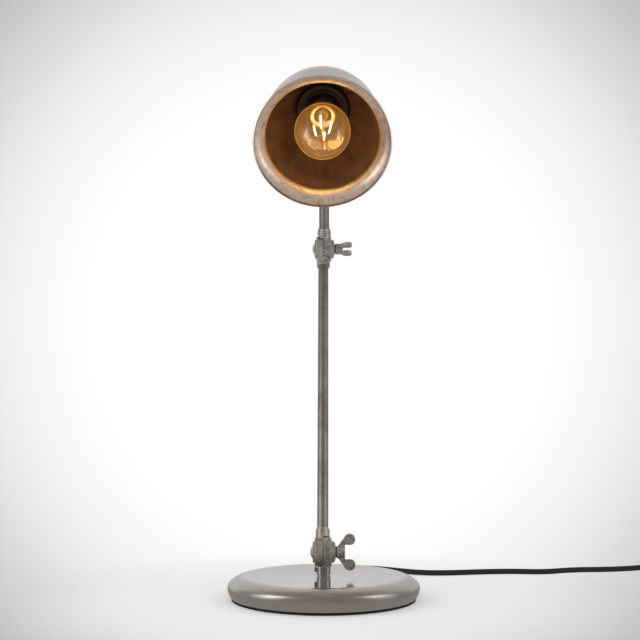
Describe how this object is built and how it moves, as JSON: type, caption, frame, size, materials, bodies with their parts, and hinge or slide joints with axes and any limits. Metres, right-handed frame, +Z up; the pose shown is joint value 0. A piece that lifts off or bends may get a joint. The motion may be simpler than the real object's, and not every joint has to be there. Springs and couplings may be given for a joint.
{
  "type": "tabletop searchlight lamp",
  "caption": "Adjustable desk lamp with a bell shade on a two-part arm, serrated wing-nut knuckles, a weighted round base, a globe bulb, and a mains lead with switch and plug.",
  "frame": {"origin": "centre of the base pad's underside, on the surface the lamp stands on", "axes": "+Z up, -Y the way the shade faces, +X to the right of someone who faces the shade; the knuckles turn about axes along X"},
  "size_m": [0.6634, 0.3213, 0.5842],
  "materials": {
    "polished_silver": "polished nickel-silver plate",
    "antique_silver": "satin antique silver plate",
    "cast_silver": "satin cast and plated",
    "shade_silver": "satin antique silver plate, spun",
    "plain_steel": "plain zinc-plated",
    "dark_washer": "blackened spring washer",
    "cast_weight": "raw casting",
    "felt_pad": "soft black pad",
    "black_moulding": "glossy black moulding",
    "black_plastic": "satin black moulding",
    "rocker_plastic": "smooth black moulding",
    "black_rubber": "matt black sheath",
    "brass_contact": "bright brass",
    "lamp_cap": "bright screw cap",
    "amber_glass": "clear amber glass",
    "clear_glass": "clear glass",
    "glowing_filament": "lit filament coating"
  },
  "bodies": {
    "base": {"base_shell": "polished_silver", "base_weight": "cast_weight", "base_pad": "felt_pad", "foot_post": "polished_silver", "stud_washer": "plain_steel", "stud_nut": "plain_steel", "post_grub_screw": "polished_silver", "base_knuckle": "cast_silver", "lower_washer": "dark_washer", "cord_strain_relief": "black_rubber", "mains_lead": "black_rubber", "lead_to_coil": "black_rubber", "lead_to_plug": "black_rubber", "lead_coil": "black_rubber", "switch_base": "black_plastic", "switch_cover": "black_plastic", "plug_cover": "black_plastic", "plug_body": "black_plastic", "plug_pins": "brass_contact"},
    "stem": {"stem_foot_knuckle": "cast_silver", "stem_tube": "antique_silver", "stem_head_knuckle": "cast_silver", "lower_bolt": "cast_silver", "upper_bolt": "cast_silver"},
    "arm": {"arm_foot_knuckle": "cast_silver", "arm_tube": "antique_silver", "arm_head_knuckle": "cast_silver", "upper_washer": "dark_washer", "head_washer": "dark_washer"},
    "head": {"head_knuckle": "cast_silver", "head_bolt": "cast_silver", "neck_cap": "antique_silver", "neck_nipple": "plain_steel", "shade": "shade_silver", "shade_bell": "shade_silver", "lampholder_body": "black_moulding", "lampholder_ring": "black_moulding", "lampholder_contact": "brass_contact", "bulb_cap": "lamp_cap", "bulb_glass": "amber_glass", "bulb_mount": "clear_glass", "bulb_filaments": "glowing_filament"},
    "lower_nut": {"lower_wing_nut": "cast_silver"},
    "upper_nut": {"upper_wing_nut": "cast_silver"},
    "head_nut": {"head_wing_nut": "cast_silver"},
    "rocker": {"switch_rocker": "rocker_plastic"}
  },
  "joints": [
    {"name": "lower_tilt", "type": "hinge", "parent": "base", "child": "stem", "pos_m": [-0.0005, 0, 0.0477], "axis": [1, 0, 0], "range_deg": [-35, 55]},
    {"name": "upper_tilt", "type": "hinge", "parent": "stem", "child": "arm", "pos_m": [-0.0005, 0.14635, 0.38916], "axis": [1, 0, 0], "range_deg": [-90, 45]},
    {"name": "head_tilt", "type": "hinge", "parent": "arm", "child": "head", "pos_m": [-0.0005, 0.09164, 0.56923], "axis": [1, 0, 0], "range_deg": [-110, 12]},
    {"name": "lower_nut_turn", "type": "hinge", "parent": "base", "child": "lower_nut", "pos_m": [0.018, 0, 0.0477], "axis": [1, 0, 0], "range_deg": [0, 360]},
    {"name": "upper_nut_turn", "type": "hinge", "parent": "arm", "child": "upper_nut", "pos_m": [0.018, 0.14635, 0.38916], "axis": [1, 0, 0], "range_deg": [0, 360]},
    {"name": "head_nut_turn", "type": "hinge", "parent": "arm", "child": "head_nut", "pos_m": [0.018, 0.09164, 0.56923], "axis": [1, 0, 0], "range_deg": [0, 360]},
    {"name": "rocker_tilt", "type": "hinge", "parent": "base", "child": "rocker", "pos_m": [0.4402, 0.2029, 0.013], "axis": [-0.2248, 0.9744, 0], "range_deg": [-14, 0]}
  ]
}
